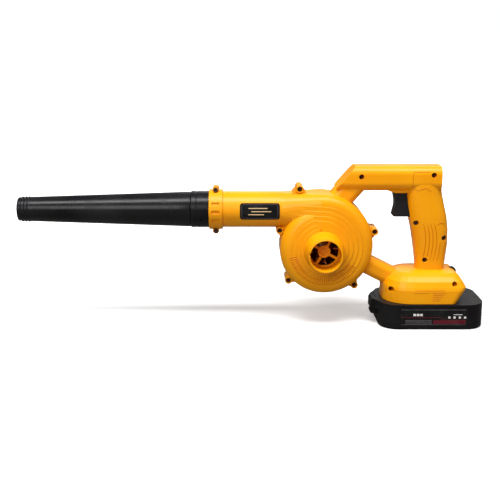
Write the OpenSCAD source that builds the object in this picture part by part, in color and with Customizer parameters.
// Hand-held cordless blower: a scroll fan housing with a straight duct and taper nozzle, a closed
// loop handle, and a slide-on battery pack that it stands on.
// Frame: millimetres, +Z up. The origin is the centre of the battery pack's flat bottom, in the plane
// where the two housing shells meet. Air leaves towards -X. The air inlet faces -Y, the motor +Y.

/* [Fan housing] */
// Distance from the origin forward to the fan axis
fan_reach = 118; // [112:1:142]
// Height of the fan axis above the ground
fan_height = 85; // [80:1:102]
// Radius of the first quarter of the scroll
scroll_r = 47.8; // [40:0.2:58]
// Growth of the scroll radius in each quarter turn
scroll_step = 4.3; // [3.5:0.1:6]
// Half of the scroll's depth along the fan axis
fan_half = 28; // [23:0.5:34]
// Radius that rounds the scroll's rim
shoulder = 11; // [8:0.5:13]
// Wall thickness of the housing shells
wall = 2.4; // [2:0.1:2.9]
// Number of raised steps on the inlet face
terraces = 4; // [3:1:5]
// Height of one raised step
terrace_h = 0.7; // [0.4:0.1:0.9]

/* [Duct] */
// Outer radius of the duct
duct_r = 19.5; // [17.5:0.25:22]
// Distance from the fan axis to the duct's open end
duct_len = 123; // [105:1:150]
// Width of the clamp ring at the open end
clamp_w = 14.5; // [12:0.5:18]
// Thickness that the clamp ring adds to the duct
clamp_rise = 2.2; // [1.5:0.1:3]

/* [Nozzle] */
// Visible length of the taper nozzle
nozzle_len = 187.5; // [150:0.5:240]
// Outer radius of the nozzle at its tip
tip_r = 12.8; // [10.5:0.1:14.8]
// Outer radius of the nozzle at its root
root_r = 19; // [17.6:0.1:19.3]
// Wall thickness of the nozzle
nozzle_wall = 1.5; // [1.2:0.1:1.9]
// Visible length of the collar between clamp ring and nozzle
collar_len = 19.5; // [16:0.5:25]
// Depth of each push fit, nozzle in collar and collar in duct
socket_depth = 13; // [10:0.5:16]

/* [Inlet] */
// Outer radius of the inlet neck's plain end
neck_r = 18; // [16:0.25:20]
// Distance that the neck stands out from the scroll's face
neck_len = 27; // [22:0.5:33]
// Wall thickness of the neck
neck_wall = 1.6; // [1.3:0.1:2]
// Number of spokes in the inlet guard
guard_spokes = 4; // [3:1:8]

/* [Handle] */
// Height of the top of the handle bar above the ground
handle_top = 173.6; // [169:0.2:200]
// Height of the handle bar
bar_h = 26.4; // [24:0.2:31]
// Half width of the handle bar
bar_half = 17; // [15:0.5:20]
// Depth of the front strut between scroll and bar
strut_h = 25; // [22:0.5:29]
// Depth of the lower strut between scroll and base
lower_strut_h = 20; // [18:0.5:23]
// Half width of both struts
strut_half = 14.5; // [13:0.5:16.5]

/* [Base and battery] */
// Length of the battery pack's lower body, without its nose
pack_len = 113; // [110:1:138]
// Half width of the battery pack
pack_half = 38; // [36:0.5:45]
// Height of the battery pack's main body
pack_h = 27.7; // [26:0.1:33]
// Height of the housing base
base_h = 32.6; // [30:0.2:36]
// Radius of a battery cell
cell_r = 9.2; // [8:0.1:9.6]
// Length of a battery cell
cell_len = 65; // [56:0.5:67]
// Number of battery cells, side by side
cells = 5; // [3:1:5]

/* [Fan and motor] */
// Gap between the impeller and the scroll's tongue
tongue_gap = 9.5; // [7:0.5:12]
// Number of impeller blades
blades = 9; // [7:1:12]
// Radius of the motor's can
motor_r = 14; // [11.6:0.2:16.8]
// Length of the motor's can
motor_len = 38; // [31:0.5:46]
// Radius of the motor's shaft
shaft_r = 1.6; // [1.5:0.05:2]

/* [Controls] */
// Travel of the trigger
trigger_travel = 7; // [4:0.5:8]
// Radius of the speed dial
dial_r = 4.8; // [4.4:0.1:5.2]
// Thickness of the speed dial
dial_t = 5; // [4:0.5:6]

/* [Fasteners and fits] */
// Radius of a shell screw's shank
screw_r = 1.35; // [1.2:0.05:1.5]
// Radius of a shell screw's head
head_r = 2.5; // [2.2:0.1:2.6]
// Length of a shell screw under its head
screw_len = 18; // [15:0.5:20]
// Clearance between pieces that slide or turn on each other
slip = 0.3; // [0.2:0.05:0.4]

/* [Hidden] */
$fn = 72;
eps = 0.01;
far = 400;                                    // longer than any cut has to reach

body_yellow = [0.96, 0.62, 0.05];
trim_black = [0.08, 0.08, 0.09];
steel = [0.72, 0.73, 0.75];
brass = [0.80, 0.62, 0.28];

// Scroll: three growing quarter arcs round the fan axis, and the first radius again at the tongue.
fan_x = -fan_reach;
arc_1 = [fan_x + 1.2, fan_height - 0.825];
arc_2 = [arc_1.x, arc_1.y + scroll_step];
arc_3 = [arc_1.x - scroll_step, arc_2.y];
quarters = [[arc_3, scroll_r + 2 * scroll_step], [arc_1, scroll_r], [arc_1, scroll_r],
    [arc_2, scroll_r + scroll_step]];         // centre and radius from 0, 90, 180 and 270 degrees
face_y = -fan_half - terraces * terrace_h;    // the top raised step on the inlet side
cavity_half = fan_half - wall;

duct_z = arc_3.y + scroll_r + 2 * scroll_step - duct_r;
duct_end = fan_x - duct_len;
duct_bore = duct_r - wall;
clamp_x = duct_end + clamp_w / 2;
clamp_r = duct_r + clamp_rise;
boss_r = head_r + 1.4;
boss_half = fan_half / 2;
boss_out = 4.2;                               // how far a boss's centre stands outside the scroll
ear_out = clamp_r + 0.6;                      // distance of the clamp's screws from the duct axis
ear_half = 7.5;

spigot_r = duct_bore - slip;                  // the collar's rear, in the duct
spigot_wall = 1.8;
collar_r = duct_r + 0.25;
collar_front = duct_end - collar_len;
socket_r = collar_r - 2;                      // the collar's front, round the nozzle's root
plug_r = socket_r - slip;
nozzle_tip = collar_front - nozzle_len;
tip_bore = tip_r - nozzle_wall;
tip_land = 14;                                // plain bore inside the tip
lip_w = 3.2;                                  // distance from the tip to the first ring
seal_r = 0.9;

neck_y = -fan_half - neck_len;
neck_bore = neck_r - neck_wall;
guard_r = neck_bore + 1.1;
guard_y = face_y - 0.4;                       // the guard's outer face
guard_t = 3;
hub_out = 6.7;
hub_in = 4.2;

impeller_r = scroll_r - tongue_gap;
impeller_back = fan_half / 2 - 1;
impeller_front = 5 - cavity_half;
hub_r = 6;
bush_r = 3.2;
blade_t = 1.4;
blade_turn = 32;                              // how far a blade leans back from hub to rim
eye_r = neck_bore - 1;

tube_bore = motor_r + 3.6;
tube_r = tube_bore + wall;
mount_y = impeller_back + 4;
mount_t = 2;
can_y = mount_y + mount_t;
can_end = can_y + motor_len;
bell_t = 4;
tube_end = can_end - 5;
cover_end = can_end + bell_t + 5;
can_wall = 1;
magnet_t = 2.4;
armature_r = motor_r - can_wall - magnet_t - 0.7;
bearing_r = 4.4;
bearing_t = 3;
bearing_gap = 0.05;
commutator_r = 4.6;
cover_ears = [90, 210, 330];
cover_ear_r = tube_r + 2.4;

pack_x = pack_len / 2;
base_z = pack_h + slip;                       // underside of the base, just clear of the pack
base_top = base_z + base_h;
base_front = -pack_x + 4.5;
base_rear = pack_x - 20.5;                    // furthest point of the base
base_heel = pack_x - 30.8;                    // where the underside ends and slants up
heel_z = base_z + 14.5;
base_half = pack_half - 2;

bar_z = handle_top - bar_h / 2;
bar_left = fan_x + 33.5;                      // corner where bar and front strut meet
bar_right = 7.2;
bar_round = 9;
strut_lean = 49;                              // degrees above the horizontal
lower_lean = 27;

// Grip outline: height from the base's top as a share of the way to the bar, front x and back x.
grip_low = base_top - 5;
grip_high = handle_top - bar_round;
grip_shape = [[0, -14.4, 14.6, 14.0], [0.12, -15.6, 16.6, 15.0], [0.30, -18.6, 18.4, 16.2],
    [0.45, -21.6, 18.2, 16.8], [0.58, -25.0, 16.2, 17.0], [0.70, -27.6, 12.9, 17.0],
    [0.80, -28.9, 10.2, 17.0], [0.90, -29.2, 8.6, 17.0], [1, -29.2, 7.4, 15.5]];
grip_power = 3;                               // squareness of the grip's section

trigger_top = handle_top - bar_h - 2.8;
trigger_h = 26;
trigger_half = 8;
trigger_front = -43;
trigger_back = -22;
plunger_r = 2.2;
switch_x = trigger_back + trigger_travel + 3;
switch_len = 18;
switch_half = 9;
switch_z = trigger_top - 27;
switch_h = 28;

board_x = 4;                                  // front edge of the control board
board_y = 6;
dial_x = base_rear - 10.4;
dial_z = base_top - 4.3;

seat_y = -8;                                  // where every shell screw's head seats
head_t = 2.4;
// Shell screws inside the handle and base: x, z.
inner_screws = [[bar_left + 6, handle_top - 10.9], [-1.6, handle_top - 9.1],
    [-18.1, base_top + 52], [12.5, base_top + 35.5], [-7.1, base_top + 11.2],
    [base_front + 8, base_z + 14], [base_heel - 3.5, base_z + 21.5]];
rim_angles = [157.5, 223, 307, 13.6];
duct_boss = [arc_3.x - 22.6, duct_z + duct_r + boss_out];

lip_half = 25;                                // half width over the pack's rail lips
rail_half = 20.5;                             // half width of the pack's rail neck
lip_z = base_z + 1.3;                         // underside of the base's lips
lip_t = 3;
pack_top = lip_z + lip_t + slip + 4.2;
ceiling_z = pack_top + slip;
floor_z = ceiling_z + 2;                      // floor of the base's inner space
rail_front = base_front + 11.5;
rail_rear = base_heel - 6.7;
nose_x = -pack_x - 7.2;
nose_z = pack_h - 9.7;                        // underside of the nose's wide part
nose_flat = 8;                                // half width of the nose's flat front
nose_draw = 0.53;                             // how far the nose draws back for its width
pack_foot = 1.5;                              // inset and height of the pack's foot
seam_z = 9.5;                                 // where the pack's two shells meet
pack_wall = 2.2;
cell_pitch = 2 * cell_r + 0.4;
cell_z = pack_wall + 0.6 + cell_r;
pack_corner = 20;
pack_screw_at = [pack_x - 6.5, pack_half - 13.5];
pack_seat = 5;
board_z = pack_h - 1.9;
contact_ys = [-12, -4, 4, 12];
block_x = base_front + 14;                    // front face of the terminal block
block_len = 15;
blade_z = board_z + 4;
latch_travel = 3;
latch_half = 10;
latch_z = pack_h - 6.4;                       // middle of the latch button

function scroll_at(a, grow = 0) = let (q = quarters[floor(((a % 360) + 360) % 360 / 90)])
    q[0] + (q[1] + grow) * [cos(a), sin(a)];
function rim_screws() = concat([for (a = rim_angles) scroll_at(a, boss_out)], [duct_boss],
    [for (s = [-1, 1]) [clamp_x, duct_z + s * ear_out]]);
function all_screws() = concat(rim_screws(), [for (s = inner_screws) [s[0], s[1]]]);

// Ring of points: a rectangle from x0 to x1 with rounded front and rear corners, anticlockwise.
function bend(cx, cy, r, a0, n) = [for (i = [0:n])
    [cx + r * cos(a0 + 90 * i / n), cy + r * sin(a0 + 90 * i / n)]];
function round_ring(x0, x1, half, rf, rr, n = 6) = concat(
    bend(x1 - rr, half - rr, rr, 0, n), bend(x0 + rf, half - rf, rf, 90, n),
    bend(x0 + rf, rf - half, rf, 180, n), bend(x1 - rr, rr - half, rr, 270, n));
// Ring of points: a squared ellipse from x0 to x1.
function soft_ring(x0, x1, half, n = 28) = [for (i = [0:n - 1]) let (a = 360 * (i + 0.5) / n,
    c = cos(a), s = sin(a)) [(x0 + x1) / 2 + (x1 - x0) / 2 * sign(c) * pow(abs(c), 2 / grip_power),
    half * sign(s) * pow(abs(s), 2 / grip_power)]];

// Closed skin through rings of equal length, each given as [height, ring].
module loft(rings) {
    n = len(rings[0][1]);
    last = len(rings) - 1;
    polyhedron(points = [for (r = rings) for (p = r[1]) [p.x, p.y, r[0]]],
        faces = concat([[for (i = [0:n - 1]) i]], [[for (i = [0:n - 1]) last * n + n - 1 - i]],
            [for (k = [0:last - 1]) for (i = [0:n - 1]) let (j = (i + 1) % n)
                [k * n + i, (k + 1) * n + i, (k + 1) * n + j, k * n + j]]));
}

// A flat outline in the XZ plane, drawn from y0 to y1.
module slab(y0, y1) translate([0, y1, 0]) rotate([90, 0, 0]) linear_extrude(y1 - y0) children();

// A solid of revolution round a line along Y through x and z. Its profile is drawn as radius and y.
module turned_y(x, z) translate([x, 0, z]) rotate([-90, 0, 0]) rotate_extrude() children();

// The same round a line along X. Its profile is drawn as radius and x.
module turned_x(z) translate([0, 0, z]) rotate([0, 90, 0]) rotate_extrude() children();

module rod_y(x, z, r, y0, y1) translate([x, y0, z]) rotate([-90, 0, 0]) cylinder(r = r, h = y1 - y0);

module rod_x(x0, x1, z, r) translate([x0, 0, z]) rotate([0, 90, 0]) cylinder(r = r, h = x1 - x0);

module box(x0, x1, y0, y1, z0, z1) translate([x0, y0, z0]) cube([x1 - x0, y1 - y0, z1 - z0]);

module round_rect(w, h, r) {
    square([w - 2 * r, h], center = true);
    square([w, h - 2 * r], center = true);
    for (x = [r - w / 2, w / 2 - r], y = [r - h / 2, h / 2 - r]) translate([x, y]) circle(r);
}

// Beam of rounded section from a point in the XZ plane, running at an angle above +X.
module beam(at, lean, length, height, half, r) translate([at.x, 0, at.y]) rotate([0, -lean, 0])
    rotate([90, 0, 90]) linear_extrude(length) round_rect(2 * half, height, r);

// Half section of the scroll: the rim is rounded, and the inlet face can carry raised steps.
module scroll_section(r, half, round, steps) {
    translate([0, -half]) square([r - round, 2 * half]);
    translate([0, round - half]) square([r, 2 * (half - round)]);
    for (s = [-1, 1]) translate([r - round, s * (half - round)]) circle(round);
    for (i = [1:1:steps]) translate([0, -half - i * terrace_h])
        square([r - round - 1 - 5 * (i - 1), i * terrace_h + 1]);
}

// Scroll solid, made of four quarter turns. A negative grow shrinks it.
module scroll(grow, half, round, steps = 0) for (i = [0:3])
    translate([quarters[i][0].x, 0, quarters[i][0].y])
    rotate([-90, 0, 0]) rotate([0, 0, -90 * (i + 1)]) rotate_extrude(angle = 90)
        scroll_section(quarters[i][1] + grow, half, round, steps);

// Hull from the scroll's top to the round duct.
module throat(grow, half) hull() {
    translate([arc_3.x, 0, duct_z]) rotate([0, 90, 0]) linear_extrude(0.5)
        round_rect(2 * (duct_r + grow), 2 * half, shoulder + grow, $fn = 32);
    translate([fan_x - scroll_r + 2, 0, duct_z]) rotate([0, 90, 0])
        cylinder(r = duct_r + grow - 0.3, h = 0.5, $fn = 32);
}

module grip_solid(grow) loft([for (g = grip_shape)
    [grip_low + g[0] * (grip_high - grip_low), soft_ring(g[1] - grow, g[2] + grow, g[3] + grow)]]);

module base_solid(grow) {
    top = base_top + grow;
    loft([[base_z - (grow < 0 ? 1 : 0), round_ring(base_front - grow, base_heel + grow, base_half + grow,
        30 + grow, 7 + grow)],
        [heel_z, round_ring(base_front - grow, base_rear - 1 + grow, base_half + grow, 30 + grow,
            9 + grow)],
        [heel_z + 3, round_ring(base_front - grow, base_rear + grow, base_half - 0.8 + grow, 30 + grow,
            9 + grow)],
        [top - 9, round_ring(base_front + 2.2 - grow, base_rear - 3.5 + grow, base_half - 3.4 + grow,
            28 + grow, 9 + grow)],
        [top - 4.5, round_ring(base_front + 7.5 - grow, base_rear - 6.6 + grow, base_half - 8.4 + grow,
            24 + grow, 9 + grow)],
        [top - 1.5, round_ring(base_front + 13 - grow, base_rear - 9.6 + grow, base_half - 13.5 + grow,
            20 + grow, 8 + grow)],
        [top, round_ring(base_front + 18.5 - grow, base_rear - 14 + grow, base_half - 19 + grow, 16 + grow,
            7 + grow)]]);
}

// Beam of the front strut, from inside the scroll up to the corner of the bar.
strut_dir = [cos(strut_lean), sin(strut_lean)];
strut_at = [bar_left, handle_top] + (strut_h / 2) * [strut_dir.y, -strut_dir.x];
module front_strut(grow) intersection() {
    beam(strut_at - 66 * strut_dir, strut_lean, 100, strut_h + 2 * grow, strut_half + grow, 8 + grow);
    beam([-far, handle_top / 2], 0, 2 * far, handle_top + 2 * grow, bar_half + grow, bar_round + grow);
}

module handle_bar(grow) intersection() {
    beam([bar_left - 20, bar_z], 0, bar_right - bar_left + 20 + grow, bar_h + 2 * grow, bar_half + grow,
        bar_round + grow);
    translate([bar_left, 0, handle_top]) rotate([0, -strut_lean, 0])
        box(-far, far, -far, far, -far, grow);
}

lower_end = [base_front + 13, base_top - 11];
lower_dir = [cos(lower_lean), -sin(lower_lean)];
module lower_strut(grow) beam(lower_end - 48 * lower_dir, -lower_lean, 54, lower_strut_h + 2 * grow,
    strut_half - 1 + grow, 7 + grow);

module duct_solid(grow) rod_x(duct_end - (grow < 0 ? 1 : 0), arc_3.x, duct_z, duct_r + grow);

// Step below the bar that closes round the trigger's top.
module trigger_brow() slab(-trigger_half - 3, trigger_half + 3)
    polygon([[trigger_front - 6, handle_top - bar_h + 2],
    [trigger_front - 6, handle_top - bar_h], [trigger_front + 1.4, trigger_top + slip],
    [-22, trigger_top + slip], [-22, handle_top - bar_h + 2]]);

// Columns for the shell screws: on the rim from outside, in the handle and base from wall to wall.
module rim_columns() {
    for (p = [for (a = rim_angles) scroll_at(a, boss_out)]) rod_y(p.x, p.y, boss_r, -boss_half, boss_half);
    rod_y(duct_boss.x, duct_boss.y, boss_r, -boss_half, boss_half);
    for (s = [-1, 1]) rod_y(clamp_x, duct_z + s * ear_out, boss_r - 0.4, -ear_half, ear_half);
}

// The raised steps of the scroll's face run out along the throat.
module throat_steps() for (i = [1:terraces])
    let (foot = duct_z - duct_r + 3, level = 0.03 - fan_half - i * terrace_h)
    translate([0, 0, foot]) linear_extrude(duct_z + duct_r - shoulder - 1.15 - 5 * (i - 1) - foot)
        polygon([[arc_3.x + 1, -1], [arc_3.x + 1, level], [arc_3.x, level], [arc_3.x - 31, -21],
            [arc_3.x - 31, -1]]);

// Ear that joins a column to the rim: as wide as the column outside and wider at its root.
module ear(p, a, depth) translate([p.x, 0, p.y]) rotate([0, -a, 0]) slab(2 - boss_half, boss_half - 2)
    polygon([[0, boss_r - 0.2], [0, 0.2 - boss_r], [-depth, -boss_r - 5.5], [-depth, boss_r + 5.5]]);

module rim_webs() {
    for (a = rim_angles) ear(scroll_at(a, boss_out), a, boss_out + 3.4);
    ear(duct_boss, 90, boss_out + 2.5);
    for (s = [-1, 1]) box(clamp_x - boss_r + 0.4, clamp_x + boss_r - 0.4, 1 - ear_half, ear_half - 1,
        min(duct_z + s * ear_out, duct_z + s * (duct_r - 1)),
            max(duct_z + s * ear_out, duct_z + s * (duct_r - 1)));
}

module clamp_ring() difference() {
    rod_x(duct_end, duct_end + clamp_w, duct_z, clamp_r);
    for (a = [23, 0, -26]) translate([clamp_x, 0, duct_z]) rotate([-a, 0, 0])
        box(-4.2, 4.2, -clamp_r - 2, -clamp_r + 1.4, -2, 2);
}

module column(x, z) rod_y(x, z, boss_r, -far / 2, far / 2);

// Everything that makes the housing's outer form, before it is hollowed and split.
module housing_solid() {
    scroll(0, fan_half, shoulder, terraces);
    duct_solid(0);
    throat(0, fan_half);
    throat_steps();
    clamp_ring();
    rim_columns();
    rim_webs();
    grip_and_bar(0);
    base_solid(0);
    lower_strut(0);
    trigger_brow();
}

module grip_and_bar(grow) {
    front_strut(grow);
    handle_bar(grow);
    grip_solid(grow);
}

// Inner space of the handle and base, with the screw columns and the scroll's own wall left standing.
module handle_space() difference() {
    union() {
        grip_and_bar(-wall);
        lower_strut(-wall);
        base_space();
    }
    for (s = inner_screws) column(s.x, s.y);
    scroll(-eps, fan_half - eps, shoulder - eps);
}

module base_space() intersection() {
    base_solid(-wall);
    box(-far, far, -far, far, floor_z, far);
}

// Channel for the pack's rail, open at the rear, and the pockets beside it.
module rail_channel() {
    intersection() {
        union() {
            box(-far, far, -lip_half - slip, lip_half + slip, lip_z + lip_t, ceiling_z);
            box(-far, far, -rail_half - slip, rail_half + slip, 0, lip_z + lip_t + eps);
            box(-far, far, -lip_half - slip, lip_half + slip, 0, lip_z);
        }
        union() {
            for (s = [-1, 1]) translate([base_front + 30, s * (base_half - 30), 0])
                cylinder(r = 30 - wall, h = far);
            box(base_front + wall, far, 30 - base_half, base_half - 30, 0, far);
            box(base_front + 30, far, -far, far, 0, far);
        }
    }
    for (s = [-1, 1]) translate([0, s * (lip_half + 5.1), 0])
        box(base_front + 26, rail_rear - 2, -2.6, 2.6, 0, ceiling_z);
}

// Slanted rear end of the base's underside.
module heel_cut() slab(-far / 2, far / 2)
    polygon([[base_heel, 0], [base_heel, base_z], [base_rear - 2.2, heel_z],
    [base_rear + 40, heel_z], [base_rear + 40, 0]]);

module trigger_window() box(-60, trigger_back + 4, -trigger_half - slip, trigger_half + slip,
    trigger_top - trigger_h - slip, trigger_top + slip);

module dial_pocket() rod_y(dial_x, dial_z, dial_r + 0.4, -dial_t / 2 - 0.5, dial_t / 2 + 0.5);

module screw_holes() for (p = all_screws()) {
    rod_y(p.x, p.y, head_r + 0.3, -far / 2, seat_y);
    rod_y(p.x, p.y, screw_r + 0.15, seat_y - 1, eps);
    rod_y(p.x, p.y, screw_r, 0, seat_y + screw_len + 1);
}

// Ribs across the handle's inner space that hold the switch, the dial's axle and the board.
module inner_ribs() intersection() {
    union() {
        box(switch_x + switch_len + 0.02, switch_x + switch_len + 2, -30, 30, switch_z,
            switch_z + switch_h);
        box(switch_x - 6, switch_x + switch_len + 2, -30, 30, switch_z - 2, switch_z - 0.02);
        for (s = [-1, 1]) rod_y(dial_x, dial_z, 3.2, s > 0 ? dial_t / 2 + 1 : -far / 2,
            s > 0 ? far / 2 : -dial_t / 2 - 1);
        box(board_x - 2, board_x - 0.02, board_y, 26, floor_z - 1, floor_z + 15.5);
    }
    union() {
        grip_solid(-eps);
        base_solid(-eps);
    }
}

module housing_half() difference() {
    union() {
        difference() {
            housing_solid();
            scroll(-wall, cavity_half, shoulder - wall);
            duct_solid(-wall);
            throat(-wall, cavity_half);
            handle_space();
            rail_channel();
            heel_cut();
            lead_holes();
        }
        inner_ribs();
    }
    trigger_window();
    dial_pocket();
    screw_holes();
    rod_y(dial_x, dial_z, 1.5, -dial_t / 2 - 5, dial_t / 2 + 5);
    for (s = [-1, 1]) translate([-4, s * 6, switch_z - 3]) cylinder(r = 1.7, h = 4);
    terminal_block_space();
}

module terminal_block_space() box(block_x, block_x + block_len, -16.02, 16.02, ceiling_z - 1, floor_z + 1);

module lead_holes() {
    translate([lead_gate.x, lead_gate.y, lead_gate.z]) rotate([0, 90 - strut_lean - 20, 0])
        cylinder(r = 2.9, h = 16, center = true);
}
lead_gate = let (p = scroll_at(63, -wall / 2)) [p.x, 9, p.y];

// Inlet neck: a plain end, a tapered foot and a seat for the guard.
module neck_profile() polygon([[neck_bore, neck_y], [neck_r - 0.4, neck_y], [neck_r, neck_y + 0.4],
    [neck_r, neck_y + 9], [neck_r + 0.6, neck_y + 10], [neck_r + 3.2, face_y],
        [neck_r + 3.2, -fan_half + 1],
    [guard_r + 0.05, -fan_half + 1], [guard_r + 0.05, guard_y], [neck_bore, guard_y]]);

module front_shell() color(body_yellow) {
    difference() {
        union() {
            difference() {
                intersection() {
                    housing_half();
                    box(-far, far, -far, 0, 0, far);
                }
                rod_y(fan_x, fan_height, neck_r + 3, -far / 2, -10);
            }
            difference() {
                turned_y(fan_x, fan_height) neck_profile();
                rod_y(fan_x, fan_height, guard_r + 0.05, guard_y, 0);
            }
            turned_y(fan_x, fan_height) translate([guard_r + 0.05, -fan_half])
                square([neck_r + 3.4 - guard_r, fan_half - cavity_half]);
        }
        // bayonet notch in the neck's rim
        translate([fan_x, 0, fan_height]) rotate([0, -172, 0]) {
            box(neck_bore - 2, neck_r + 2, neck_y - 1, neck_y + 3.8, -1.8, 1.8);
            box(neck_bore - 2, neck_r + 2, neck_y + 2, neck_y + 3.8, -1.8, 6);
        }
    }
}

module back_shell() color(body_yellow) difference() {
    union() {
        intersection() {
            housing_half();
            box(-far, far, 0, far, 0, far);
        }
        rod_y(fan_x, fan_height, tube_r, can_y, tube_end);
        for (a = cover_ears) translate([fan_x + cover_ear_r * cos(a), 0, fan_height + cover_ear_r * sin(a)])
            rod_y(0, 0, 3.4, fan_half - 1, tube_end);
    }
    rod_y(fan_x, fan_height, tube_bore, can_y - 1, tube_end + 1);
    for (a = cover_ears) rod_y(fan_x + cover_ear_r * cos(a), fan_height + cover_ear_r * sin(a), 1.1,
        tube_end - 9, tube_end + 1);
    for (a = mount_angles) rod_y(fan_x + mount_screw_r * cos(a), fan_height + mount_screw_r * sin(a), 0.9,
        can_y - 1, can_y + 6);
    // cooling air slots in the motor tube
    for (a = [20:40:340]) translate([fan_x, 0, fan_height]) rotate([0, -a, 0])
        box(tube_bore - 1, tube_r + 1, fan_half + 5, fan_half + 17, -1.4, 1.4);
    // gate for the motor's leads
    rod_at(lead_tube_gate, 2.9, 12);
}
mount_screw_r = (tube_bore + tube_r) / 2;
mount_angles = [0, 120, 240];
lead_angle = 62;
lead_y = cavity_half - 3.4;
lead_tube_gate = [fan_x + tube_r * cos(lead_angle), lead_y, fan_height + tube_r * sin(lead_angle)];

// Short rod through a point, square to the motor tube's wall.
module rod_at(p, r, h) translate(p) rotate([0, 90 - lead_angle, 0]) cylinder(r = r, h = h, center = true);

module inlet_guard() color(body_yellow) translate([fan_x, 0, fan_height]) {
    difference() {
        rod_y(0, 0, guard_r, guard_y, guard_y + guard_t);
        rod_y(0, 0, neck_bore - 1, guard_y - 1, guard_y + guard_t + 1);
    }
    difference() {
        union() {
            rod_y(0, 0, hub_out, guard_y, guard_y + guard_t - 0.4);
            for (i = [0:guard_spokes - 1]) rotate([0, -60 - 360 * i / guard_spokes, 0])
                box(hub_out - 1, neck_bore - 0.5, guard_y + 0.3, guard_y + guard_t - 0.6, -1.3, 1.3);
        }
        rod_y(0, 0, hub_in, guard_y - 1, guard_y + 1.2);
    }
}

module motor_cover() color(body_yellow) difference() {
    union() {
        turned_y(fan_x, fan_height) polygon([[0, tube_end], [tube_r, tube_end], [tube_r, cover_end - 3],
            [tube_r - 0.9, cover_end - 0.9], [tube_r - 3, cover_end], [0, cover_end]]);
        for (a = cover_ears) rod_y(fan_x + cover_ear_r * cos(a), fan_height + cover_ear_r * sin(a), 3.4,
            tube_end, tube_end + 5);
    }
    rod_y(fan_x, fan_height, tube_bore, tube_end - 1, cover_end - wall);
    for (a = cover_ears) rod_y(fan_x + cover_ear_r * cos(a), fan_height + cover_ear_r * sin(a), 1.25,
        tube_end - 1, tube_end + 6);
    for (i = [-3:3]) let (h = sqrt(pow(tube_bore - 2.4, 2) - pow(4.2 * i, 2)))
        translate([fan_x, 0, fan_height])
            box(-h, h, cover_end - wall - 1, cover_end + 1, 4.2 * i - 1, 4.2 * i + 1);
}

module cross_head(x, y, z, r, t, s) difference() {
    rod_y(x, z, r, s > 0 ? y - t : y, s > 0 ? y : y + t);
    for (w = [[0.45, 1.5], [1.5, 0.45]])
        box(x - w[0], x + w[0], s > 0 ? y - t - 1 : y + 0.9, s > 0 ? y - 0.9 : y + t + 1, z - w[1],
        z + w[1]);
}

module motor_cover_screws() color(steel) for (a = cover_ears)
    let (x = fan_x + cover_ear_r * cos(a), z = fan_height + cover_ear_r * sin(a)) {
        cross_head(x, tube_end + 5, z, 2.2, 1.8, -1);
        rod_y(x, z, 1.1, tube_end - 8, tube_end + 5 + eps);
    }

module shell_screws() color(steel) for (p = all_screws()) {
    cross_head(p.x, seat_y, p.y, head_r, head_t, 1);
    rod_y(p.x, p.y, screw_r, seat_y - eps, seat_y + screw_len);
}

module duct_label() color(trim_black) intersection() {
    difference() {
        rod_x(duct_end + clamp_w, arc_3.x, duct_z, duct_r + 0.35);
        rod_x(duct_end, arc_3.x + 1, duct_z, duct_r);
    }
    translate([duct_end + 54.6, 0, duct_z + 0.6]) slab(-far, 0) round_rect(42.6, 17.8, 3);
}

// ---- nozzle ----
module nozzle_collar() color(trim_black) difference() {
    turned_x(duct_z) polygon([[socket_r, collar_front], [collar_r - 0.5, collar_front],
        [collar_r, collar_front + 0.5],
        [collar_r, collar_front + 5], [collar_r - 0.4, collar_front + 5.3],
            [collar_r - 0.4, collar_front + 6.1],
        [collar_r, collar_front + 6.4], [collar_r, duct_end - slip], [spigot_r, duct_end - slip],
        [spigot_r, duct_end + socket_depth], [spigot_r - spigot_wall, duct_end + socket_depth],
        [spigot_r - spigot_wall, collar_front + socket_depth + slip],
            [socket_r, collar_front + socket_depth + slip]]);
    turned_x(duct_z) translate([spigot_r, duct_end + socket_depth - 4]) circle(seal_r);
    translate([collar_front + 11.5, 0, duct_z]) rotate([25, 0, 0])
        rod_y(0, 0, 1.6, -collar_r - 1, -collar_r + 1.2);
}

module collar_seal() color([0.12, 0.12, 0.12]) turned_x(duct_z)
    translate([spigot_r - 0.3, duct_end + socket_depth - 4]) circle(seal_r - 0.33);

module nozzle() color(trim_black) turned_x(duct_z) polygon(concat(
    [[tip_bore, nozzle_tip], [tip_r - 0.4, nozzle_tip], [tip_r, nozzle_tip + 0.4]],
    [for (i = [0:2]) for (p = [[0, 0], [0.35, 0.3], [0.35, 1], [0, 1.3]])
        [tip_r + taper * (lip_w + 3.8 * i + p[1]) + p[0], nozzle_tip + lip_w + 3.8 * i + p[1]]],
    [[root_r, collar_front - 1.6], [root_r - 0.3, collar_front - slip], [plug_r, collar_front - slip],
        [plug_r, collar_front + socket_depth], [plug_r - nozzle_wall, collar_front + socket_depth],
        [plug_r - nozzle_wall, collar_front - 2], [tip_bore, nozzle_tip + tip_land]]));
taper = (root_r - tip_r) / nozzle_len;

// ---- impeller and motor ----
// Outline of one blade in the plane square to the fan axis.
function blade_line(r0, r1, side) = [for (i = [0:6]) let (t = i / 6, r = r0 + (r1 - r0) * t,
    a = blade_turn * t * t) [r * cos(a) - side * sin(a), r * sin(a) + side * cos(a)]];
module blade_shape(r0, r1) polygon(concat(blade_line(r0, r1, blade_t / 2),
    [for (i = [6:-1:0]) blade_line(r0, r1, -blade_t / 2)[i]]));

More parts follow.
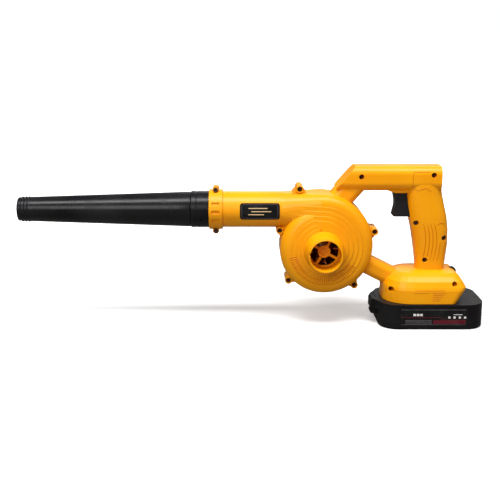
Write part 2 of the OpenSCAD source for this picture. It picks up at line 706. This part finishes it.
module impeller() color([0.55, 0.22, 0.08]) difference() {
    union() {
        turned_y(fan_x, fan_height) polygon([[0, impeller_back + 1.6], [impeller_r, impeller_back + 1.6],
            [impeller_r, impeller_back],
            [14, impeller_back], [hub_r + 1.4, impeller_back - 4], [hub_r, impeller_back - 13],
                [0, impeller_back - 13]]);
        turned_y(fan_x, fan_height) polygon([[eye_r + 3, impeller_front], [eye_r + 3, impeller_front + 1.2],
            [impeller_r, impeller_front + 5.2], [impeller_r, impeller_front + 4]]);
        translate([fan_x, 0, fan_height]) for (i = [0:blades - 1]) rotate([0, 360 * i / blades, 0])
            difference() {
            slab(impeller_front + 0.6, impeller_back + 0.5) blade_shape(11, impeller_r - 0.3);
            turned_y(0, 0) polygon([[impeller_r + 2, impeller_front - 1],
                [impeller_r + 2, impeller_front + 4.9], [eye_r + 3, impeller_front + 0.7],
                [9, impeller_front + 5], [9, impeller_front - 1]]);
        }
    }
    rod_y(fan_x, fan_height, bush_r, impeller_back - 14, impeller_back + 3);
}

module impeller_bush() color(brass) turned_y(fan_x, fan_height) translate([shaft_r, impeller_back - 12.6])
    square([bush_r - shaft_r, 14.2]);

module impeller_nut() color(steel) difference() {
    rod_y(fan_x, fan_height, 3.1, impeller_back - 15.6, impeller_back - 12.6, $fn = 6);
    rod_y(fan_x, fan_height, shaft_r, impeller_back - 16, impeller_back - 12);
}

module motor_shaft() color(steel)
    rod_y(fan_x, fan_height, shaft_r, impeller_back - 17, can_end + bell_t - 0.9);

module armature() color([0.45, 0.43, 0.42]) difference() {
    union() {
        rod_y(fan_x, fan_height, armature_r, can_y + 8, can_end - 12);
        rod_y(fan_x, fan_height, armature_r - 2.2, can_y + 5, can_end - 9);
    }
    rod_y(fan_x, fan_height, shaft_r, 0, far / 2);
    translate([fan_x, 0, fan_height]) for (i = [0:4]) rotate([0, 72 * i + 10, 0]) {
        box(armature_r - 3.4, armature_r + 1, can_y, can_end, -0.8, 0.8);
    }
}

module commutator() color([0.75, 0.42, 0.24]) difference() {
    rod_y(fan_x, fan_height, commutator_r, can_end - 8, can_end - 0.5);
    rod_y(fan_x, fan_height, shaft_r, 0, far / 2);
    translate([fan_x, 0, fan_height]) for (i = [0:4]) rotate([0, 72 * i + 30, 0])
        box(commutator_r - 0.8, commutator_r + 1, can_end - 9, can_end, -0.25, 0.25);
}

module motor_mount() color([0.25, 0.25, 0.27]) difference() {
    rod_y(fan_x, fan_height, tube_r, mount_y, can_y);
    rod_y(fan_x, fan_height, bearing_r + 0.4, mount_y - 1, can_y + 1);
    for (a = mount_angles) rod_y(fan_x + mount_screw_r * cos(a), fan_height + mount_screw_r * sin(a), 1.05,
        mount_y - 1, can_y + 1);
    for (a = [60, 180, 300]) rod_y(fan_x + (motor_r - 4) * cos(a), fan_height + (motor_r - 4) * sin(a), 1.6,
        mount_y - 1, can_y + 1);
}

module motor_mount_screws() color(steel) for (a = mount_angles)
    let (x = fan_x + mount_screw_r * cos(a), z = fan_height + mount_screw_r * sin(a)) {
        rod_y(x, z, 1.7, mount_y - 1, mount_y);
        rod_y(x, z, 0.9, mount_y - eps, can_y + 5);
    }

module motor_can() color(steel) difference() {
    turned_y(fan_x, fan_height) polygon([[bearing_r, can_y], [motor_r - 1.2, can_y], [motor_r, can_y + 1.2],
        [motor_r, can_end],
        [motor_r - can_wall, can_end], [motor_r - can_wall, can_y + 1.2], [bearing_r + 1.2, can_y + 1.2],
        [bearing_r + 1.2, can_y + 3.2], [bearing_r, can_y + 3.2]]);
    for (a = [0, 90, 180, 270]) rod_y(fan_x + 9 * cos(a), fan_height + 9 * sin(a), 1.8, can_y - 1,
        can_y + 2);
}

module motor_magnets() color([0.2, 0.2, 0.2]) difference() {
    rod_y(fan_x, fan_height, motor_r - can_wall, can_y + 4, can_end - 9);
    rod_y(fan_x, fan_height, motor_r - can_wall - magnet_t, can_y, can_end);
    translate([fan_x, 0, fan_height]) box(-4, 4, can_y, can_end, -motor_r, motor_r);
}

module motor_end_bell() color([0.1, 0.1, 0.1]) difference() {
    union() {
        rod_y(fan_x, fan_height, motor_r, can_end, can_end + bell_t);
        rod_y(fan_x, fan_height, motor_r - can_wall - 0.1, can_end - 2, can_end + eps);
    }
    rod_y(fan_x, fan_height, commutator_r + 4.2, can_end - 3, can_end + 0.6);
    rod_y(fan_x, fan_height, bearing_r, can_end, can_end + bell_t - 0.8);
    for (a = [45, 225]) rod_y(fan_x + (motor_r - 3.4) * cos(a), fan_height + (motor_r - 3.4) * sin(a), 1.6,
        can_end - 3, can_end + bell_t + 1);
}

module carbon_brushes() color([0.15, 0.15, 0.16]) for (s = [-1, 1]) translate([fan_x, 0, fan_height])
    box(s > 0 ? commutator_r + 0.3 : -commutator_r - 4.1, s > 0 ? commutator_r + 4.1 : -commutator_r - 0.3,
        can_end - 6, can_end - 2.02, -1.5, 1.5);

module motor_terminals() color(brass) for (s = [-1, 1])
    translate([fan_x + s * (motor_r - 4.4), 0, fan_height]) rotate([0, s * 45, 0])
    box(-0.3, 0.3, can_end + bell_t, can_end + bell_t + 2.2, -1.4, 1.4);

module bearing(y) difference() {
    rod_y(fan_x, fan_height, bearing_r, y, y + bearing_t);
    rod_y(fan_x, fan_height, shaft_r + bearing_gap, y - 1, y + bearing_t + 1);
}
module front_bearing() color([0.62, 0.5, 0.32]) bearing(can_y);
module rear_bearing() color([0.62, 0.5, 0.32]) bearing(can_end + 0.2);

module motor_ring() color([0.15, 0.15, 0.15]) turned_y(fan_x, fan_height) translate([motor_r, tube_end - 6])
    square([tube_bore - motor_r, 4]);

// ---- trigger and switch ----
module trigger() color(trim_black) difference() {
    union() {
        slab(-trigger_half, trigger_half) polygon(concat([[trigger_front + 1.3, trigger_top - trigger_h],
            [trigger_back + 1.5, trigger_top - trigger_h], [trigger_back + 1.5, trigger_top]],
            [for (i = [0:10]) let (t = i / 10)
                [trigger_front + 0.6 * (1 - t) + 2.4 * pow(sin(180 * t), 1.3),
                trigger_top - t * (trigger_h - 1.3)]]));
        box(trigger_back + 1.3, trigger_back + 2.5, -trigger_half - 1.3, trigger_half + 1.3,
            trigger_top - trigger_h + 0.3, trigger_top - 1);
    }
    box(trigger_front + 8, trigger_back + 3, 1.6 - trigger_half, trigger_half - 1.6,
        trigger_top - trigger_h + 1.8, trigger_top - 1.8);
    for (s = [-1, 1]) translate([trigger_front + 2.6, s * trigger_half, 0]) rotate([0, 0, s * 45])
        box(-far, 0, s > 0 ? 0 : -far, s > 0 ? far : 0, 0, far);
}

plunger_z = trigger_top - trigger_h / 2;
module switch_plunger() color([0.75, 0.75, 0.72]) {
    rod_x(trigger_front + 8, switch_x + 5, plunger_z, plunger_r);
    rod_x(trigger_front + 8, trigger_front + 9.2, plunger_z, plunger_r + 2.4);
}

module helix(r, wire, h, turns, n = 14, m = 6) {
    steps = n * turns;
    ring = [for (k = [0:steps]) for (j = [0:m - 1])
        let (a = 360 * k / n, b = 360 * j / m, q = r + wire * cos(b))
        [q * cos(a), q * sin(a), wire + (h - 2 * wire) * k / steps + wire * sin(b)]];
    polyhedron(points = ring, faces = concat([[for (j = [0:m - 1]) j]],
        [[for (j = [0:m - 1]) steps * m + m - 1 - j]],
        [for (k = [0:steps - 1]) for (j = [0:m - 1]) let (i = (j + 1) % m)
            [k * m + j, (k + 1) * m + j, (k + 1) * m + i, k * m + i]]));
}

module trigger_spring() color(steel) translate([trigger_front + 9.3, 0, plunger_z]) rotate([0, 90, 0])
    helix(3.6, 0.45, switch_x - trigger_front - 9.4, 7);

module switch_body() color([0.1, 0.1, 0.11]) difference() {
    union() {
        box(switch_x, switch_x + switch_len, -switch_half, switch_half, switch_z, switch_z + switch_h);
        for (s = [-1, 1]) box(switch_x + 4, switch_x + 9, s * 5 - 0.4, s * 5 + 0.4, switch_z + switch_h - 1,
            switch_z + switch_h + 4);
    }
    rod_x(switch_x - 1, switch_x + 5 + trigger_travel + 1, plunger_z, plunger_r + 0.06);
}

// ---- speed dial and electronics ----
module speed_dial() color(trim_black) translate([dial_x, 0, dial_z]) difference() {
    rod_y(0, 0, dial_r, -dial_t / 2, dial_t / 2);
    rod_y(0, 0, 1.56, -dial_t, dial_t);
    for (i = [0:14]) rotate([0, 24 * i, 0]) box(dial_r - 0.5, dial_r + 1, -dial_t, dial_t, -0.45, 0.45);
}

module dial_axle() color(steel) rod_y(dial_x, dial_z, 1.5, -dial_t / 2 - 4.8, dial_t / 2 + 4.8);

// Board beside the dial, with its wiper on the dial's side and a power transistor.
module control_board() color([0.1, 0.32, 0.16]) difference() {
    union() {
        box(board_x, dial_x - 3.7, board_y, board_y + 1.6, floor_z + 0.02, dial_z + 1);
        box(dial_x - 8, dial_x - 3.7, dial_t / 2 + 0.6, board_y + eps, dial_z - 1, dial_z + 0.8);
        box(board_x + 3, board_x + 10, board_y - 2.5, board_y + eps, floor_z + 3, floor_z + 10);
    }
    for (p = inner_screws) rod_y(p.x, p.y, boss_r + 0.3, 0, far);
}

module terminal_block() color([0.12, 0.12, 0.13]) {
    box(block_x, block_x + block_len, -16, 16, ceiling_z, floor_z + 3);
    box(block_x + 2, block_x + block_len - 2, -13.6, 13.6, floor_z + 2, floor_z + 5);
}

module contact_blades() color(brass) for (y = contact_ys)
    box(block_x + 1.5, block_x + block_len - 2, y - 0.4, y + 0.4, blade_z, ceiling_z);

// Round lead through a list of points.
module lead(points, r) {
    for (i = [0:len(points) - 2]) let (d = points[i + 1] - points[i], l = norm(d)) translate(points[i])
        rotate([0, acos(d.z / l), atan2(d.y, d.x)]) cylinder(r = r, h = l, $fn = 24);
    for (i = [1:1:len(points) - 2]) translate(points[i]) sphere(r * 1.06, $fn = 24);
}

module battery_leads() color([0.6, 0.08, 0.06]) for (s = [-1, 1])
    lead([[block_x + 5, s * 8, floor_z + 5], [block_x + 5, s * 8, floor_z + 8],
    [-4, s * 8, base_top - 9], [3, s * 8, base_top - 2], [3, s * 8, base_top + 16],
        [-4, s * 6, base_top + 34], [-4, s * 6, switch_z]], 1.2);

module motor_leads() color([0.1, 0.1, 0.1]) for (s = [0, 1])
    lead([[switch_x + 6.5, 5.4 - s * 10.4, switch_z + switch_h + 4.05],
    [switch_x + 5, 5.4 - s * 8, bar_z + 3 - 5 * s],
    [bar_left + 22, 9 - 3.4 * s, bar_z + 3 - 5 * s],
        [lead_gate.x + 12 + 2 * s, 10.4 - 2.8 * s, lead_gate.z + 15 - 2 * s],
    [lead_gate.x, 10.4 - 2.8 * s, lead_gate.z], [fan_x + 43 * cos(63), lead_y, fan_height + 43 * sin(63)],
    [lead_tube_gate.x, lead_y, lead_tube_gate.z]], 1.2);

// ---- battery pack ----
// Plan of the pack's nose: flat in the middle and drawn back to both sides.
module nose_plan(half, grow) let (x = nose_x - grow, side = x + (half - nose_flat) * nose_draw)
    polygon([[0, half + grow], [side, half + grow], [x, nose_flat + grow], [x, -nose_flat - grow],
        [side, -half - grow], [0, -half - grow]]);

// The pack's body, with a wide nose at the front of its top and a narrow one below for the latch.
module pack_body(grow) {
    under = grow < 0 ? -grow : pack_foot;
    translate([0, 0, under]) linear_extrude(pack_h + grow - under)
        round_rect(2 * (pack_x + grow), 2 * (pack_half + grow), pack_corner + grow);
    if (grow == 0) linear_extrude(2 * pack_foot)
        round_rect(2 * (pack_x - pack_foot), 2 * (pack_half - pack_foot), pack_corner - pack_foot);
    translate([0, 0, nose_z - grow]) linear_extrude(pack_h - nose_z + 2 * grow)
        nose_plan(pack_half - 6, grow);
    translate([0.1, 0, seam_z + 1 - grow]) linear_extrude(nose_z - seam_z + grow)
        nose_plan(latch_half + 1.8, grow);
}

module rail_block(grow) {
    box(rail_front - grow, rail_rear + grow, -rail_half - grow, rail_half + grow, pack_h - 4,
        pack_top + grow);
    if (grow == 0) box(rail_front, rail_rear, -lip_half, lip_half, lip_z + lip_t + slip, pack_top);
}

module latch_space() {
    box(nose_x - 1, nose_x + 3.6, -latch_half - slip, latch_half + slip, latch_z - 6.5 - latch_travel, far);
    box(nose_x + 3.5, nose_x + 6, -latch_half - slip, latch_half + slip, seam_z + 2.6, far);
}

module pack_whole() difference() {
    union() {
        pack_body(0);
        rail_block(0);
    }
    intersection() {
        pack_body(-pack_wall);
        box(nose_x + 7.6, far, -far, far, 0, far);
    }
    rail_block(-pack_wall);
    latch_space();
    for (y = contact_ys) box(rail_front - 1, block_x + block_len, y - 1.05, y + 1.05, blade_z - 0.6, far);
}

module pack_columns(r, z0, z1) for (x = [-1, 1], y = [-1, 1])
    translate([x * pack_screw_at.x, y * pack_screw_at.y, z0]) cylinder(r = r, h = z1 - z0);

module pack_lower_shell() color(trim_black) difference() {
    intersection() {
        union() {
            pack_whole();
            intersection() {
                pack_body(-eps);
                pack_columns(3, 0, seam_z);
            }
        }
        box(-far, far, -far, far, 0, seam_z);
    }
    pack_columns(2.2, -1, pack_seat);
    pack_columns(1.25, 0, seam_z + 1);
}

module pack_upper_shell() color(trim_black) difference() {
    intersection() {
        union() {
            pack_whole();
            intersection() {
                pack_body(-eps);
                pack_columns(3, seam_z, pack_h);
            }
        }
        box(-far, far, -far, far, seam_z, far);
    }
    pack_columns(1.1, seam_z - 1, seam_z + 9);
}

module pack_screws() color(steel) {
    pack_columns(2.1, pack_seat - 2, pack_seat);
    pack_columns(1.1, pack_seat - eps, seam_z + 8);
}

module pack_labels() color([0.16, 0.15, 0.15]) for (s = [-1, 1])
    translate([0, s > 0 ? pack_half : -pack_half - 0.3, pack_h / 2 + 0.7])
    slab(0, 0.3) round_rect(2 * (pack_x - pack_corner) - 1, 18, 2);

function cell_x(i) = (i - (cells - 1) / 2) * cell_pitch;
module battery_cells() color([0.16, 0.42, 0.62]) for (i = [0:cells - 1]) {
    rod_y(cell_x(i), cell_z, cell_r, -cell_len / 2, cell_len / 2);
    rod_y(cell_x(i), cell_z, 3.4, i % 2 == 0 ? cell_len / 2 - eps : -cell_len / 2 - 0.6,
        i % 2 == 0 ? cell_len / 2 + 0.6 : -cell_len / 2 + eps);
}

module cell_holder() color([0.82, 0.82, 0.8]) for (s = [-1, 1]) difference() {
    box(0.1 - cell_pitch * cells / 2, cell_pitch * cells / 2 - 0.1,
        s > 0 ? cell_len / 2 - 10 : 4 - cell_len / 2, s > 0 ? cell_len / 2 - 4 : 10 - cell_len / 2,
        pack_wall, cell_z + cell_r + 1.4);
    for (i = [0:cells - 1]) rod_y(cell_x(i), cell_z, cell_r + 0.02, -far / 2, far / 2);
}

module cell_straps() color([0.78, 0.78, 0.74]) for (i = [0:cells - 1], s = [-1, 1])
    box(i == 0 ? cell_x(0) - 4 : cell_x(i) - cell_pitch / 2 + ((i + (s > 0 ? 0 : 1)) % 2 == 0 ? 1 : 0),
        i == cells - 1 ? cell_x(i) + 4 : cell_x(i) + cell_pitch / 2,
        s > 0 ? cell_len / 2 + 0.62 : -cell_len / 2 - 0.82,
            s > 0 ? cell_len / 2 + 0.82 : -cell_len / 2 - 0.62, cell_z - 3.5, cell_z + 3.5);

module pack_board() color([0.1, 0.32, 0.16]) {
    box(rail_front + 3, rail_rear - 4, -17.5, 17.5, board_z, board_z + 1.6);
    box(-14, 2, -10, 10, board_z + 1.6 - eps, board_z + 4.6);
    for (x = [-30, 8]) for (s = [-1, 1])
        box(x, x + 4, s > 0 ? 12 : -14, s > 0 ? 14 : -12, cell_z + cell_r + 0.1, board_z + eps);
}

module pack_contacts() color(brass) for (y = contact_ys, s = [-1, 1])
    box(block_x + 1, block_x + block_len - 3, s > 0 ? y + 0.72 : y - 1.02, s > 0 ? y + 1.02 : y - 0.72,
        board_z + 1.6, pack_top - pack_wall - 0.2);

module latch_button() color(trim_black) {
    slab(-latch_half, latch_half) polygon([[nose_x + 3.3, latch_z - 6.2], [nose_x - 0.2, latch_z - 5.6],
        [nose_x - 0.2, latch_z + 4],
        [nose_x + 1.6, latch_z + 6], [nose_x + 5.7, latch_z + 6], [nose_x + 5.7, latch_z + 1],
            [nose_x + 3.3, latch_z + 1]]);
    for (i = [0:3]) box(nose_x - 0.6, nose_x, -latch_half + 2, latch_half - 2, latch_z - 4.6 + 2.4 * i,
        latch_z - 3.6 + 2.4 * i);
}

module latch_spring() color(steel) translate([nose_x + 4.75, 0, seam_z + 2.62])
    helix(0.85, 0.25, latch_z - 1.7 - seam_z, 7, 12, 6);

front_shell();
back_shell();
inlet_guard();
motor_cover();
motor_cover_screws();
shell_screws();
duct_label();
nozzle_collar();
collar_seal();
nozzle();
impeller();
impeller_bush();
impeller_nut();
motor_shaft();
armature();
commutator();
motor_mount();
motor_mount_screws();
motor_can();
motor_magnets();
motor_end_bell();
carbon_brushes();
motor_terminals();
front_bearing();
rear_bearing();
motor_ring();
trigger();
switch_plunger();
trigger_spring();
switch_body();
speed_dial();
dial_axle();
control_board();
terminal_block();
contact_blades();
battery_leads();
motor_leads();
pack_lower_shell();
pack_upper_shell();
pack_screws();
pack_labels();
battery_cells();
cell_holder();
cell_straps();
pack_board();
pack_contacts();
latch_button();
latch_spring();
